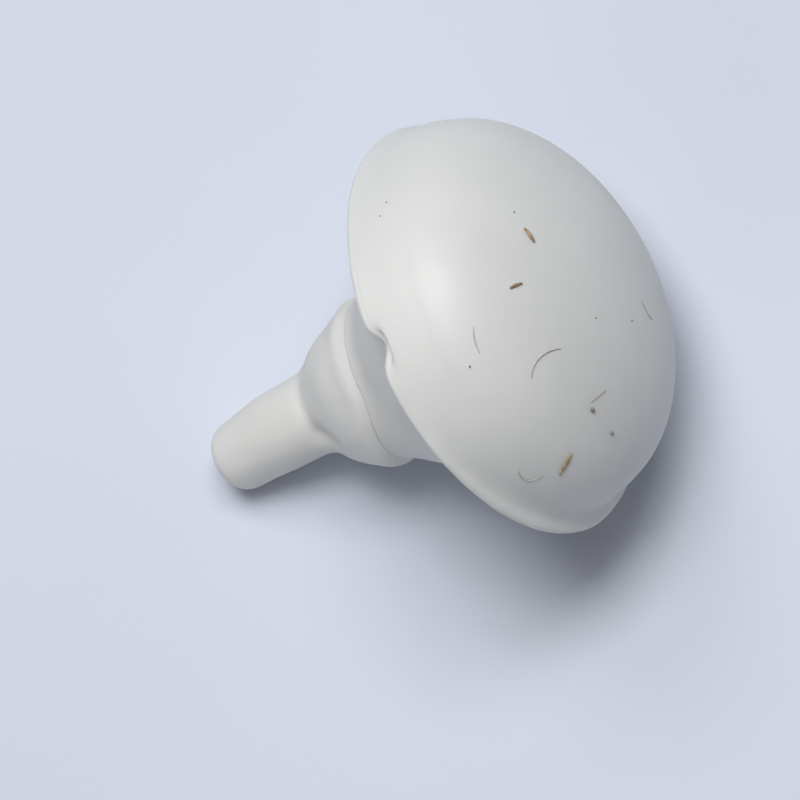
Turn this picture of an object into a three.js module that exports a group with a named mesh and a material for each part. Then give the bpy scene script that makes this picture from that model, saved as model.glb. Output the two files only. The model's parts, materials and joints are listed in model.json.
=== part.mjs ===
import * as THREE from 'three';

// Rubber nose plug of a plastic-skirted shuttlecock, lying on its side on its lip and tail.
// Units are millimetres. Every piece is turned about one axis. A profile point is
// (radius, station): station 0 is the middle of the lip, positive towards the nose.

const SEGMENTS = 32;
const HALF_FACET = Math.PI / SEGMENTS;
const SEAM_GAP = 0.3;

const LIP_RADIUS = 13.0;
const LIP_THICKNESS = 0.7;
const LIP_EDGE_ROUND = 0.18;

const DOME_RADIUS = 12.35;
const DOME_BASE = 0.95;
const DOME_HEIGHT = 7.85;
const DOME_STEPS = 13;
const FILLET_RADIUS_AT_LIP = 12.4;

const CAP_WALL = 1.3;
const MOUTH_RADIUS = 11.3;
const HOLLOW_RADIUS = DOME_RADIUS - CAP_WALL;
const HOLLOW_HEIGHT = DOME_HEIGHT - CAP_WALL;
const HOLLOW_STEPS = 9;

const COLLAR_FRONT = 1.2;
const COLLAR_REAR = -7.6;
const COLLAR_REAR_RADIUS = 5.0;
const FLARE_BEND_RADIUS = 7.2;
const FLARE_BEND_STATION = -4.2;
const FLARE_STEPS = 8;
const BORE_RADIUS = 2.9;

const ROOT_RADIUS = 4.4;
const ROOT_THICKNESS = 1.6;
const SHANK_RADIUS = BORE_RADIUS - SEAM_GAP;

const TAIL_TOUCH_RADIUS = 1.9;
const TAIL_TOUCH_STATION = -20.6;
const TAIL_FLAT_RADIUS = 1.5;
const TAIL_END_STATION = -21.0;

const CORE_BACK = COLLAR_FRONT + SEAM_GAP;
const LIP_BACK = -LIP_THICKNESS / 2;

function point(radius, station) {
  return new THREE.Vector2(radius, station);
}

// Quarter ellipse from its base circle (or a station on it) to the axis.
function domeCurve(radius, base, height, startStation, steps) {
  const start = Math.asin((startStation - base) / height);
  const points = [];
  for (let i = 0; i <= steps; i += 1) {
    const angle = THREE.MathUtils.lerp(start, Math.PI / 2, i / steps);
    const r = i === steps ? 0 : radius * Math.cos(angle);
    points.push(point(r, base + height * Math.sin(angle)));
  }
  return points;
}

function lipEdge() {
  const half = LIP_THICKNESS / 2;
  const inset = LIP_EDGE_ROUND;
  return [
    point(LIP_RADIUS - inset, -half),
    point(LIP_RADIUS, -half + inset),
    point(LIP_RADIUS, half - inset),
    point(LIP_RADIUS - inset, half),
    point(FILLET_RADIUS_AT_LIP, half + 0.08),
  ];
}

// Moulded skin: dome outside, turned-out lip, hollow inside, open at the back.
function noseCapProfile() {
  const hollow = domeCurve(HOLLOW_RADIUS, DOME_BASE, HOLLOW_HEIGHT, DOME_BASE, HOLLOW_STEPS);
  const outside = domeCurve(DOME_RADIUS, DOME_BASE, DOME_HEIGHT, DOME_BASE, DOME_STEPS);
  return [
    ...hollow.reverse(),
    point(MOUTH_RADIUS, LIP_BACK),
    ...lipEdge(),
    ...outside,
  ];
}

// Light filling behind the skin, with a pocket for the stem's root.
function impactCoreProfile() {
  const radius = HOLLOW_RADIUS - SEAM_GAP;
  const height = HOLLOW_HEIGHT - SEAM_GAP;
  const pocketRadius = ROOT_RADIUS + SEAM_GAP;
  const pocketTop = CORE_BACK + ROOT_THICKNESS + SEAM_GAP;
  return [
    point(0, pocketTop),
    point(pocketRadius, pocketTop),
    point(pocketRadius, CORE_BACK),
    ...domeCurve(radius, DOME_BASE, height, CORE_BACK, HOLLOW_STEPS),
  ];
}

// Trumpet-shaped outside of the collar, from the lip's mouth down to the neck.
function flareCurve() {
  const curve = new THREE.QuadraticBezierCurve(
    point(COLLAR_REAR_RADIUS, COLLAR_REAR),
    point(FLARE_BEND_RADIUS, FLARE_BEND_STATION),
    point(MOUTH_RADIUS - SEAM_GAP, LIP_BACK),
  );
  return curve.getPoints(FLARE_STEPS);
}

function backCollarProfile() {
  const bore = point(BORE_RADIUS, COLLAR_REAR);
  return [
    bore,
    ...flareCurve(),
    point(HOLLOW_RADIUS - SEAM_GAP, COLLAR_FRONT),
    point(BORE_RADIUS, COLLAR_FRONT),
    bore.clone(),
  ];
}

// Root disc, shank through the collar, barb behind the neck, pull tail with a cut end.
function stemProfile() {
  const barbFront = COLLAR_REAR - SEAM_GAP;
  return [
    point(0, TAIL_END_STATION),
    point(TAIL_FLAT_RADIUS, TAIL_END_STATION),
    point(TAIL_TOUCH_RADIUS, TAIL_TOUCH_STATION),
    point(2.2, -19.8),
    point(2.5, -16.5),
    point(2.65, -13.75),
    point(3.4, -12.4),
    point(3.95, -11.3),
    point(4.35, -10.3),
    point(4.65, -9.4),
    point(5.0, -8.6),
    point(5.1, -8.2),
    point(5.05, barbFront),
    point(SHANK_RADIUS, barbFront),
    point(SHANK_RADIUS, CORE_BACK),
    point(ROOT_RADIUS, CORE_BACK),
    point(ROOT_RADIUS, CORE_BACK + ROOT_THICKNESS),
    point(0, CORE_BACK + ROOT_THICKNESS),
  ];
}

// Tilt at which a flat facet of the lip and one of the tail both touch the floor.
function restTilt() {
  const drop = (LIP_RADIUS - TAIL_TOUCH_RADIUS) * Math.cos(HALF_FACET);
  const run = LIP_BACK + LIP_EDGE_ROUND - TAIL_TOUCH_STATION;
  return Math.atan2(drop, run);
}

// Turns the profile, then lays its axis in the XZ plane with the nose raised by the rest tilt.
function turnedPiece(name, profile, color, roughness) {
  const geometry = new THREE.LatheGeometry(profile, SEGMENTS, HALF_FACET);
  const tilt = restTilt();
  const up = new THREE.Vector3(-Math.sin(tilt), 0, Math.cos(tilt));
  const nose = new THREE.Vector3(Math.cos(tilt), 0, Math.sin(tilt));
  const side = new THREE.Vector3(0, 1, 0);
  geometry.applyMatrix4(new THREE.Matrix4().makeBasis(up, nose, side));
  const material = new THREE.MeshStandardMaterial({ color, roughness, metalness: 0 });
  const mesh = new THREE.Mesh(geometry, material);
  mesh.name = name;
  return mesh;
}

// Puts the origin at the middle of the part's footprint box, on the floor.
function standOnFloor(pieces) {
  const box = new THREE.Box3();
  pieces.forEach((piece) => box.expandByObject(piece));
  const middle = box.getCenter(new THREE.Vector3());
  pieces.forEach((piece) => piece.geometry.translate(-middle.x, -middle.y, -box.min.z));
}

const pieces = [
  turnedPiece('nose_cap', noseCapProfile(), 0xd2d5d3, 0.5),
  turnedPiece('impact_core', impactCoreProfile(), 0xe4dfcf, 0.9),
  turnedPiece('back_collar', backCollarProfile(), 0xc6c8c6, 0.55),
  turnedPiece('stem', stemProfile(), 0xcfcfc8, 0.55),
];
standOnFloor(pieces);

const group = new THREE.Group();
group.name = 'shuttlecock_nose_plug';
group.add(...pieces);

export default group;
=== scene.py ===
import json
import math

import bpy
from mathutils import Matrix, Vector, noise


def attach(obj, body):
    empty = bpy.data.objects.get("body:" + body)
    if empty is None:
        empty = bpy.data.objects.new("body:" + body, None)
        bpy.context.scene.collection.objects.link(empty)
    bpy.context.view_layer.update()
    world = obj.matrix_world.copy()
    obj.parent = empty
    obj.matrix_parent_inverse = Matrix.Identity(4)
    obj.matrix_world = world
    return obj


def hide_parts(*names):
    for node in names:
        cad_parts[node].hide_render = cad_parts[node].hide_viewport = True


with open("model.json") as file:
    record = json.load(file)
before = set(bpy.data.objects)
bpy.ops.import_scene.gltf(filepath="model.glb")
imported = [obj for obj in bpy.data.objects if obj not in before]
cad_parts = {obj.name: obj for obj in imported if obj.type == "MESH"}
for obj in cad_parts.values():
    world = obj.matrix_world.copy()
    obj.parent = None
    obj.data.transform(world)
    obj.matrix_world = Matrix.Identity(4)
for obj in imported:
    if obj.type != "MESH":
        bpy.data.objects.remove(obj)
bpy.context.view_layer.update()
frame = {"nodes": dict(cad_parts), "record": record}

MM = 0.001
ROUND = 360

# The plug's own axis, from the record's mount on the tail's cut end. Stations are millimetres
# along it from the middle of the lip, positive towards the nose. Azimuth 0 is the upper side
# and 90 degrees is +Y.
TAIL_END_STATION = -21.0
TAIL_MOUNT = next(m for m in frame["record"]["mounts"] if m["name"] == "tail_end")
NOSE = -Vector(TAIL_MOUNT["axis"]).normalized()
SIDE = Vector((0, 1, 0))
UP = NOSE.cross(SIDE).normalized()
RIM_CENTRE = Vector(TAIL_MOUNT["pos_m"]) - NOSE * TAIL_END_STATION * MM
REST_TILT = math.atan2(NOSE.z, NOSE.x)

# The plug is seen from this side of its axis: azimuth of the part that faces the camera.
VIEW_AZIMUTH = math.radians(-15.0)


# ---------------------------------------------------------------- helpers


def outward(azimuth):
    return UP * math.cos(azimuth) + SIDE * math.sin(azimuth)


# Across the axis, square to the camera's view. The dome and the stem stand a little off the axis
# this way.
ASIDE_WAY = outward(VIEW_AZIMUTH + math.pi / 2)


def place(station, radius, azimuth, aside=0.0):
    """A point in the row frame; aside moves it along ASIDE_WAY, in millimetres."""
    return RIM_CENTRE + (NOSE * station + outward(azimuth) * radius + ASIDE_WAY * aside) * MM


def ramp(value, start, end):
    """0 at start, 1 at end, smooth between."""
    t = min(max((value - start) / (end - start), 0.0), 1.0)
    return t * t * (3 - 2 * t)


def wobble(station, radius, azimuth, size, seed):
    """Smooth noise from about -1 to 1 on a surface, with lumps about size millimetres across."""
    p = Vector((station, radius * math.cos(azimuth), radius * math.sin(azimuth)))
    return noise.noise(p / size + Vector((seed, seed * 1.7, -seed)))


def smooth(points, steps):
    """Catmull-Rom curve through (station, radius) points."""
    out = []
    last = len(points) - 1
    for i in range(last):
        a, b = points[max(i - 1, 0)], points[i]
        c, d = points[i + 1], points[min(i + 2, last)]
        for j in range(steps):
            t = j / steps
            out.append(tuple(
                0.5 * (2 * b[k] + (c[k] - a[k]) * t
                       + (2 * a[k] - 5 * b[k] + 4 * c[k] - d[k]) * t * t
                       + (3 * b[k] - a[k] - 3 * c[k] + d[k]) * t ** 3)
                for k in (0, 1)))
    out.append(points[-1])
    return out


def mesh_object(name, vertices, faces):
    mesh = bpy.data.meshes.new(name)
    mesh.from_pydata(vertices, [], faces)
    mesh.validate()
    mesh.shade_smooth()
    piece = bpy.data.objects.new(name, mesh)
    bpy.context.scene.collection.objects.link(piece)
    return piece


def turned(name, profile, shape, closed):
    """A surface turned about the axis. shape moves each (station, radius, azimuth) a little.
    An open profile starts and ends on the axis; a closed one joins its end to its start. The
    outside of a profile runs towards the nose, so that the faces point outwards."""
    vertices, rings = [], []
    for station, radius in profile:
        if radius < 1e-6:
            rings.append([len(vertices)])
            vertices.append(place(*shape(station, 0.0, 0.0)))
            continue
        rings.append(list(range(len(vertices), len(vertices) + ROUND)))
        for i in range(ROUND):
            vertices.append(place(*shape(station, radius, math.tau * i / ROUND)))
    faces = []
    pairs = list(zip(rings, rings[1:]))
    if closed:
        pairs.append((rings[-1], rings[0]))
    for low, high in pairs:
        for i in range(ROUND):
            j = (i + 1) % ROUND
            if len(low) == 1:
                faces.append((low[0], high[i], high[j]))
            elif len(high) == 1:
                faces.append((low[j], low[i], high[0]))
            else:
                faces.append((low[j], low[i], high[i], high[j]))
    return mesh_object(name, vertices, faces)


# ---------------------------------------------------------------- nose cap

DOME_RADIUS = 12.1
DOME_BASE = 1.7
DOME_HEIGHT = 7.1
HOLLOW_RADIUS = 11.05
HOLLOW_BASE = 0.95
HOLLOW_HEIGHT = 6.55
MOUTH = (-0.35, 11.3)
# How far the dome stands aside from the lip.
DOME_SHIFT = 0.25

NICK_AZIMUTH = VIEW_AZIMUTH + math.radians(9.5)
NICK_DEPTH = 0.75
NICK_LIFT = 0.45
NICK_STEEP_WIDTH = math.radians(3.4)
NICK_SLOW_WIDTH = math.radians(5.0)


def quarter(radius, base, height, steps, first):
    """Quarter ellipse from its base circle to the axis, without the axis point."""
    return [
        (base + height * math.sin(a), radius * math.cos(a))
        for a in (math.pi / 2 * i / steps for i in range(first, steps))
    ]


def cap_profile():
    hollow = quarter(HOLLOW_RADIUS, HOLLOW_BASE, HOLLOW_HEIGHT, 24, 0)
    hollow.append((HOLLOW_BASE + HOLLOW_HEIGHT, 0.0))
    lip = smooth(
        [
            MOUTH, (-0.35, 11.7), (-0.34, 12.3), (-0.3, 12.7), (-0.22, 12.92), (-0.08, 13.0),
            (0.06, 12.99), (0.18, 12.9), (0.3, 12.72), (0.43, 12.5), (0.6, 12.33),
            (0.9, 12.17), (1.3, 12.1), (DOME_BASE, DOME_RADIUS),
        ],
        4,
    )
    dome = quarter(DOME_RADIUS, DOME_BASE, DOME_HEIGHT, 60, 1)
    dome.append((DOME_BASE + DOME_HEIGHT, 0.0))
    return list(reversed(hollow)) + lip + dome


def nick(azimuth):
    """How far into the lip's nick an azimuth is: steep on the upper side, slow on the lower."""
    away = math.remainder(azimuth - NICK_AZIMUTH, math.tau)
    width = NICK_STEEP_WIDTH if away > 0 else NICK_SLOW_WIDTH
    return math.exp(-((away / width) ** 2))


def filling(station, radius, azimuth):
    """Extra radius that makes the lip run straight into the dome, with no groove between."""
    seen = math.remainder(azimuth - VIEW_AZIMUTH, math.tau)
    lower_end = ramp(seen, math.radians(-60), math.radians(-5))
    upper_end = ramp(seen, math.radians(175), math.radians(120))
    full = lower_end * upper_end
    straight = 13.02 - 0.3 * station - 0.025 * station ** 2
    return full * max(straight - radius, 0.0) * ramp(station, 0.0, 0.25) * ramp(radius, 11.4, 11.9)


def cap_shape(station, radius, azimuth):
    near_lip = ramp(radius, 11.4, 12.7) * ramp(station, 1.3, 0.3)
    lumps = 0.035 * wobble(station, radius, azimuth, 6.0, 3.0)
    grain = 0.006 * wobble(station, radius, azimuth, 1.4, 8.0)
    edge = 0.07 * wobble(0.0, 13.0, azimuth, 4.5, 21.0) + 0.03 * wobble(0.0, 13.0, azimuth, 1.5, 5.0)
    dip = nick(azimuth) * ramp(radius, 11.4, 12.7) * ramp(station, 0.9, 0.2)
    fade = min(radius / 2.0, 1.0)
    bulge = (lumps + grain) * fade + edge * near_lip + filling(station, radius, azimuth)
    station += lumps * ramp(station, 3.0, 8.0) + NICK_LIFT * dip
    return station, radius + bulge - NICK_DEPTH * dip, azimuth, DOME_SHIFT * ramp(station, 0.6, 3.0)


# ---------------------------------------------------------------- collar and stem

COLLAR_FRONT = 1.2
BORE_RADIUS = 2.9


def slant(azimuth):
    """How far towards the nose the fold between neck and barb runs at an azimuth."""
    seen = azimuth - VIEW_AZIMUTH
    return 0.45 * math.cos(seen - math.radians(20)) - 1.3 * ramp(-math.sin(seen), 0.0, 1.0)


def stand_off(station):
    """How far the neck and stem stand aside, coming part of the way back along the tail."""
    neck = 0.38 * ramp(station, -2.5, -8.0)
    waist = 0.07 * ramp(station, -11, -14)
    return neck + waist - 0.2 * ramp(station, -16.5, -21)


def collar_profile():
    flare = smooth(
        [
            (-0.35, 11.0), (-1.2, 9.95), (-2.4, 8.78), (-4.0, 7.45), (-5.2, 6.5), (-6.0, 5.86),
            (-6.5, 5.48), (-6.95, 5.2), (-7.3, 5.06), (-7.6, 5.01),
        ],
        5,
    )
    front = [(COLLAR_FRONT, BORE_RADIUS), (COLLAR_FRONT, 6.0), (COLLAR_FRONT, 10.8), (0.3, 10.9)]
    rear = [(-7.62, 4.95), (-7.62, 3.4), (-7.55, BORE_RADIUS), (-4.0, BORE_RADIUS)]
    return list(reversed(front + flare + rear))


def collar_shape(station, radius, azimuth):
    pull = slant(azimuth) * ramp(station, -3.4, -7.4)
    outer = ramp(radius, 5.0, 5.6)
    lumps = 0.06 * wobble(station, radius, azimuth, 3.2, 14.0) * outer * ramp(station, -0.3, -2.0)
    return station + pull, radius + lumps, azimuth, stand_off(station)


def stem_profile():
    root = [(3.1, 0.0), (3.1, 4.2), (2.9, 4.4), (1.6, 4.4), (1.5, 4.2), (1.5, 2.6), (-4.0, 2.6)]
    barb = smooth(
        [
            (-7.64, 2.6), (-7.64, 3.6), (-7.64, 4.8), (-7.65, 4.99), (-7.75, 5.02), (-8.0, 5.09),
            (-8.3, 5.13), (-8.65, 5.06), (-9.1, 4.86), (-9.7, 4.6), (-10.4, 4.33), (-11.3, 3.97),
            (-12.2, 3.5), (-13.1, 2.95), (-13.8, 2.66), (-14.6, 2.56), (-16.5, 2.5), (-18.2, 2.36),
            (-19.7, 2.24), (-20.4, 2.1), (-20.75, 1.88), (-20.95, 1.5), (TAIL_END_STATION, 0.9),
            (TAIL_END_STATION, 0.0),
        ],
        6,
    )
    return list(reversed(root + barb))


# Hollows pressed into the stem: station, degrees round from the camera side, depth, and how far
# each reaches along and around the stem.
DENTS = [
    (-13.0, 18.0, 0.2, 0.6, 2.2),
    (-12.5, -35.0, 0.6, 0.9, 1.0),
    (-9.8, 5.0, -0.18, 1.1, 3.5),
]


def dents(station, radius, azimuth):
    total = 0.0
    for at, turn, depth, along, around in DENTS:
        across = radius * math.remainder(azimuth - VIEW_AZIMUTH - math.radians(turn), math.tau)
        total += depth * math.exp(-((station - at) / along) ** 2 - (across / around) ** 2)
    return total


def stem_shape(station, radius, azimuth):
    """The waist between barb and tail runs further forward on the camera side."""
    behind = ramp(station, -6.8, -7.4)
    to_waist = ramp(station, -8.6, -13.8)
    to_tail = ramp(station, -14.2, -18.5)
    fold = slant(azimuth)
    seen = azimuth - VIEW_AZIMUTH
    waist = 0.85 * math.cos(seen) + 0.2 * math.sin(seen)
    moved = station + (fold + (waist - fold) * to_waist) * (1 - to_tail) * behind
    broad = 0.08 * wobble(station, radius, azimuth, 2.6, 33.0)
    fine = 0.02 * wobble(station, radius, azimuth, 0.9, 2.0)
    fade = min(radius / 1.5, 1.0) * ramp(station, -7.7, -8.3)
    lumps = (broad + fine - dents(moved, radius, azimuth)) * fade
    return moved, radius + lumps, azimuth, stand_off(station)


# ---------------------------------------------------------------- dirt lying on the dome

# Each mark is an arc on the dome: climb from the dome's base (0) to its top (90) and turn round
# from the camera side, in degrees; length in millimetres; heading, with 0 round the dome and 90
# towards its top, and bend along the whole mark, in degrees; thickness in millimetres.
STRAW = [
    (60, 36, 1.0, 145, 30, 0.24),
    (50, 10, 0.9, 85, 20, 0.2),
    (20, -53, 1.5, 80, 10, 0.2),
]
LINT = [
    (45, -20, 3.0, 95, 95, 0.1),
    (27, -2, 1.6, 15, 30, 0.07),
    (70, -123, 1.6, 100, 50, 0.08),
    (48, -53, 1.4, 130, 20, 0.08),
    (4, -47, 2.2, 160, -140, 0.07),
]
# Grains of dust: climb, turn and size.
SPECKS = [
    (20, -8, 0.12), (38, -66, 0.22), (43, -52, 0.28), (55, 48, 0.1),
    (5, 48, 0.09), (2, 44, 0.09), (70, -36, 0.1), (73, -90, 0.1),
]
THREAD_SIDES = 8
THREAD_STEPS = 8


def on_dome(climb, turn, lift):
    """A point lift millimetres above the dome's skin; climb and turn are radians."""
    azimuth = VIEW_AZIMUTH + turn
    station = DOME_BASE + DOME_HEIGHT * math.sin(climb)
    radius = DOME_RADIUS * math.cos(climb)
    out = NOSE * (math.sin(climb) / DOME_HEIGHT) + outward(azimuth) * (math.cos(climb) / DOME_RADIUS)
    return place(*cap_shape(station, radius, azimuth)) + out.normalized() * lift * MM


def arc_on_dome(climb, turn, length, heading, bend, lift):
    """Points along an arc whose middle is at climb and turn. Angles are in degrees."""
    climb, turn, heading, bend = (math.radians(a) for a in (climb, turn, heading, bend))
    curve_radius = length / bend
    up_per_radian = math.hypot(DOME_HEIGHT * math.cos(climb), DOME_RADIUS * math.sin(climb))
    round_per_radian = DOME_RADIUS * math.cos(climb)
    points = []
    for i in range(THREAD_STEPS + 1):
        way = heading + bend * (i / THREAD_STEPS - 0.5)
        round_mm = curve_radius * (math.sin(way) - math.sin(heading))
        up_mm = curve_radius * (math.cos(heading) - math.cos(way))
        points.append(on_dome(climb + up_mm / up_per_radian, turn + round_mm / round_per_radian, lift))
    return points


def add_thread(vertices, faces, path, thickness):
    """A round thread along the path, thinner towards its ends, lying on the dome."""
    first, last = len(vertices), len(path) - 1
    for i, point in enumerate(path):
        along = (path[min(i + 1, last)] - path[max(i - 1, 0)]).normalized()
        across = along.cross(point - RIM_CENTRE).normalized()
        out = across.cross(along)
        half = 0.5 * thickness * MM * (0.3 + 0.7 * math.sin(math.pi * (i + 0.5) / (last + 1)))
        for k in range(THREAD_SIDES):
            turn = math.tau * k / THREAD_SIDES
            vertices.append(point + (across * math.cos(turn) + out * math.sin(turn)) * half)
    for i in range(last):
        low, high = first + i * THREAD_SIDES, first + (i + 1) * THREAD_SIDES
        for k in range(THREAD_SIDES):
            j = (k + 1) % THREAD_SIDES
            faces.append((low + j, low + k, high + k, high + j))
    end = first + last * THREAD_SIDES
    faces.append(tuple(first + k for k in range(THREAD_SIDES)))
    faces.append(tuple(end + k for k in reversed(range(THREAD_SIDES))))


def threads(name, marks):
    vertices, faces = [], []
    for climb, turn, length, heading, bend, thickness in marks:
        path = arc_on_dome(climb, turn, length, heading, bend, 0.4 * thickness)
        add_thread(vertices, faces, path, thickness)
    return mesh_object(name, vertices, faces)


def specks(name, spots):
    """Small grains: threads as long as they are thick."""
    return threads(name, [(climb, turn, size, 0, 10, size) for climb, turn, size in spots])


# ---------------------------------------------------------------- materials


def new_material(name):
    material = bpy.data.materials.new(name)
    material.use_nodes = True
    nodes, links = material.node_tree.nodes, material.node_tree.links
    nodes.clear()
    shader = nodes.new("ShaderNodeBsdfPrincipled")
    output = nodes.new("ShaderNodeOutputMaterial")
    links.new(shader.outputs["BSDF"], output.inputs["Surface"])
    return material, nodes, links, shader


def noise_node(nodes, links, size_mm, detail, roughness=0.5):
    """Noise with lumps about size_mm across, in the row frame."""
    place_node = nodes.new("ShaderNodeTexCoord")
    texture = nodes.new("ShaderNodeTexNoise")
    texture.inputs["Scale"].default_value = 1000.0 / size_mm
    texture.inputs["Detail"].default_value = detail
    texture.inputs["Roughness"].default_value = roughness
    links.new(place_node.outputs["Object"], texture.inputs["Vector"])
    return texture


def colour_ramp(nodes, links, source, stops):
    node = nodes.new("ShaderNodeValToRGB")
    elements = node.color_ramp.elements
    while len(elements) < len(stops):
        elements.new(0.5)
    for element, (position, colour) in zip(elements, stops):
        element.position = position
        element.color = (*colour, 1.0)
    links.new(source, node.inputs["Fac"])
    return node


def value_range(nodes, links, source, low, high):
    node = nodes.new("ShaderNodeMapRange")
    node.inputs["From Min"].default_value = 0.3
    node.inputs["From Max"].default_value = 0.7
    node.inputs["To Min"].default_value = low
    node.inputs["To Max"].default_value = high
    links.new(source, node.inputs["Value"])
    return node


def bump(nodes, links, source, strength, depth_mm, under=None):
    node = nodes.new("ShaderNodeBump")
    node.inputs["Strength"].default_value = strength
    node.inputs["Distance"].default_value = depth_mm * MM
    links.new(source, node.inputs["Height"])
    if under is not None:
        links.new(under.outputs["Normal"], node.inputs["Normal"])
    return node


def rubber(name, base, shade, rough_low, rough_high, grain_mm):
    """Moulded satin rubber: soft mottling, uneven gloss, fine surface grain."""
    material, nodes, links, shader = new_material(name)
    mottle = noise_node(nodes, links, 7.0, 4.0)
    colour = colour_ramp(nodes, links, mottle.outputs["Fac"], [(0.3, shade), (0.7, base)])
    links.new(colour.outputs["Color"], shader.inputs["Base Color"])
    gloss = noise_node(nodes, links, 2.5, 5.0, 0.6)
    rough = value_range(nodes, links, gloss.outputs["Fac"], rough_low, rough_high)
    links.new(rough.outputs["Result"], shader.inputs["Roughness"])
    grain = noise_node(nodes, links, grain_mm, 3.0)
    ripple = noise_node(nodes, links, 1.8, 2.0)
    fine = bump(nodes, links, grain.outputs["Fac"], 0.25, 0.02)
    both = bump(nodes, links, ripple.outputs["Fac"], 0.2, 0.06, fine)
    links.new(both.outputs["Normal"], shader.inputs["Normal"])
    shader.inputs["Subsurface Weight"].default_value = 0.25
    shader.inputs["Subsurface Radius"].default_value = (1.0, 0.95, 0.85)
    shader.inputs["Subsurface Scale"].default_value = 0.6 * MM
    shader.inputs["IOR"].default_value = 1.5
    return material


def foam():
    """Light closed-cell filling, behind the skin."""
    material, nodes, links, shader = new_material("core_foam")
    cells = nodes.new("ShaderNodeTexVoronoi")
    cells.inputs["Scale"].default_value = 1000.0 / 0.7
    coordinates = nodes.new("ShaderNodeTexCoord")
    links.new(coordinates.outputs["Object"], cells.inputs["Vector"])
    colour = colour_ramp(
        nodes, links, cells.outputs["Distance"], [(0.0, (0.74, 0.69, 0.58)), (0.6, (0.86, 0.83, 0.74))])
    links.new(colour.outputs["Color"], shader.inputs["Base Color"])
    pits = bump(nodes, links, cells.outputs["Distance"], 0.6, 0.15)
    links.new(pits.outputs["Normal"], shader.inputs["Normal"])
    shader.inputs["Roughness"].default_value = 0.9
    return material


def paper():
    material, nodes, links, shader = new_material("paper")
    cloud = noise_node(nodes, links, 60.0, 3.0)
    colour = colour_ramp(
        nodes, links, cloud.outputs["Fac"], [(0.3, (0.655, 0.69, 0.79)), (0.7, (0.685, 0.725, 0.825))])
    links.new(colour.outputs["Color"], shader.inputs["Base Color"])
    tooth = noise_node(nodes, links, 0.5, 4.0)
    fibre = bump(nodes, links, tooth.outputs["Fac"], 0.15, 0.03)
    links.new(fibre.outputs["Normal"], shader.inputs["Normal"])
    shader.inputs["Roughness"].default_value = 0.85
    return material


def dirt(name, dark, light):
    material, nodes, links, shader = new_material(name)
    streak = noise_node(nodes, links, 0.3, 3.0)
    colour = colour_ramp(nodes, links, streak.outputs["Fac"], [(0.35, dark), (0.65, light)])
    links.new(colour.outputs["Color"], shader.inputs["Base Color"])
    shader.inputs["Roughness"].default_value = 0.8
    return material


# ---------------------------------------------------------------- pieces


def finished(piece, material):
    piece.data.materials.clear()
    piece.data.materials.append(material)
    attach(piece, "root")
    return piece


cap = turned("dome_and_lip", cap_profile(), cap_shape, closed=False)
cap_rubber = rubber("cap_rubber", (0.74, 0.75, 0.735), (0.70, 0.71, 0.70), 0.42, 0.56, 0.22)
finished(cap, cap_rubber)
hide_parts("nose_cap")

collar = turned("flared_collar", collar_profile(), collar_shape, closed=True)
collar_rubber = rubber("collar_rubber", (0.74, 0.74, 0.725), (0.70, 0.70, 0.69), 0.5, 0.65, 0.25)
finished(collar, collar_rubber)
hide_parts("back_collar")

stem = turned("barb_and_tail", stem_profile(), stem_shape, closed=False)
stem_rubber = rubber("stem_rubber", (0.75, 0.75, 0.735), (0.715, 0.712, 0.69), 0.5, 0.66, 0.25)
finished(stem, stem_rubber)
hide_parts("stem")

core = frame["nodes"]["impact_core"]
core.data.materials.clear()
core.data.materials.append(foam())

straw = threads("straw_flecks", STRAW)
straw.data.materials.append(dirt("straw", (0.22, 0.14, 0.07), (0.46, 0.34, 0.2)))
lint = threads("lint_hairs", LINT)
lint.data.materials.append(dirt("lint", (0.42, 0.41, 0.39), (0.56, 0.54, 0.51)))
dust = specks("dust_specks", SPECKS)
dust.data.materials.append(dirt("dust", (0.16, 0.15, 0.14), (0.30, 0.28, 0.26)))
for piece in (straw, lint, dust):
    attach(piece, "root")

# ---------------------------------------------------------------- floor, lights, camera

bpy.ops.mesh.primitive_plane_add(size=3.0, location=(0, 0, 0))
floor = bpy.context.object
floor.name = "paper_floor"
floor.data.materials.append(paper())

# The axis as the camera sees it: its tilt to the picture and its turn in it. Then millimetres: the
# camera's distance, how far it is aimed off the rim's centre, and how much nearer the rim is.
SEEN_TILT = math.radians(32.13)
SEEN_ROLL = math.radians(27.26)
CAMERA_DISTANCE = 400.0
AIM_RIGHT = 5.586
AIM_UP = 4.237
RIM_NEARER = 11.01

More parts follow.
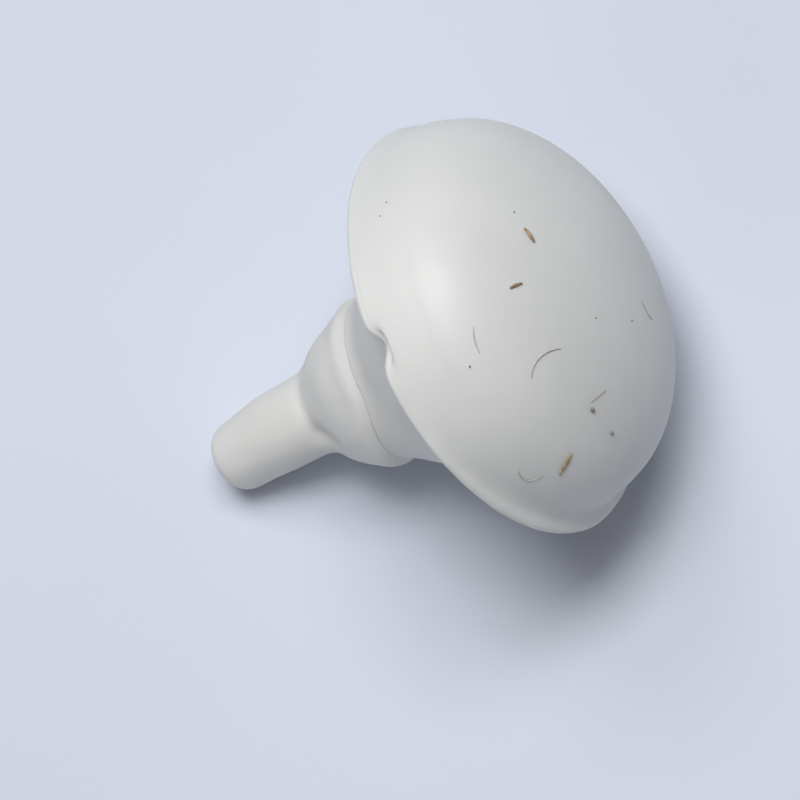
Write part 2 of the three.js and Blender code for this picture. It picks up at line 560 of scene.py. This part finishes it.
lean = SEEN_TILT - REST_TILT
orbit = Matrix.Rotation(-VIEW_AZIMUTH, 3, NOSE)
level = Vector((math.cos(lean), 0, -math.sin(lean)))
toward = orbit @ Vector((math.sin(lean), 0, math.cos(lean)))
right = orbit @ (level * math.cos(SEEN_ROLL) - SIDE * math.sin(SEEN_ROLL))
above = orbit @ (level * math.sin(SEEN_ROLL) + SIDE * math.cos(SEEN_ROLL))

camera_data = bpy.data.cameras.new("camera")
camera_data.sensor_width = 36.0
camera_data.lens = 297.3
camera_data.clip_start = 0.01
camera_data.clip_end = 10.0
camera = bpy.data.objects.new("camera", camera_data)
bpy.context.scene.collection.objects.link(camera)
spot = RIM_CENTRE + (toward * (CAMERA_DISTANCE - RIM_NEARER) - right * AIM_RIGHT - above * AIM_UP) * MM
camera.matrix_world = Matrix((
    (right.x, above.x, toward.x, spot.x),
    (right.y, above.y, toward.y, spot.y),
    (right.z, above.z, toward.z, spot.z),
    (0, 0, 0, 1),
))
bpy.context.scene.camera = camera


picture_right = Vector((right.x, right.y, 0)).normalized()
picture_back = Vector((0, 0, 1)).cross(picture_right)


def soft_light(name, azimuth, elevation, distance, size, strength):
    """A square soft light aimed at the plug. Azimuth 0 is picture right and 90 is picture top, in
    degrees like elevation; distance and size are metres, strength the light that arrives."""
    data = bpy.data.lights.new(name, "AREA")
    data.size = size
    data.energy = strength * math.pi * distance ** 2
    light = bpy.data.objects.new(name, data)
    bpy.context.scene.collection.objects.link(light)
    turn, height = math.radians(azimuth), math.radians(elevation)
    level_way = picture_right * math.cos(turn) + picture_back * math.sin(turn)
    way = level_way * math.cos(height) + Vector((0, 0, math.sin(height)))
    light.location = RIM_CENTRE + way * distance
    light.rotation_mode = "QUATERNION"
    light.rotation_quaternion = way.to_track_quat("Z", "Y")


soft_light("key", 120, 78, 0.45, 0.16, 1.38)
soft_light("window", 68, 66, 0.55, 0.17, 0.82)
soft_light("skylight", 120, 54, 0.55, 0.18, 0.50)
soft_light("ceiling", 0, 88, 0.70, 0.22, 0.26)
soft_light("front_fill", 240, 26, 0.60, 0.40, 0.36)

world = bpy.data.worlds.new("room")
bpy.context.scene.world = world
world.use_nodes = True
background = world.node_tree.nodes["Background"]
background.inputs["Color"].default_value = (1.0, 1.0, 1.0, 1.0)
background.inputs["Strength"].default_value = 0.085

bpy.context.scene.view_settings.view_transform = "Standard"
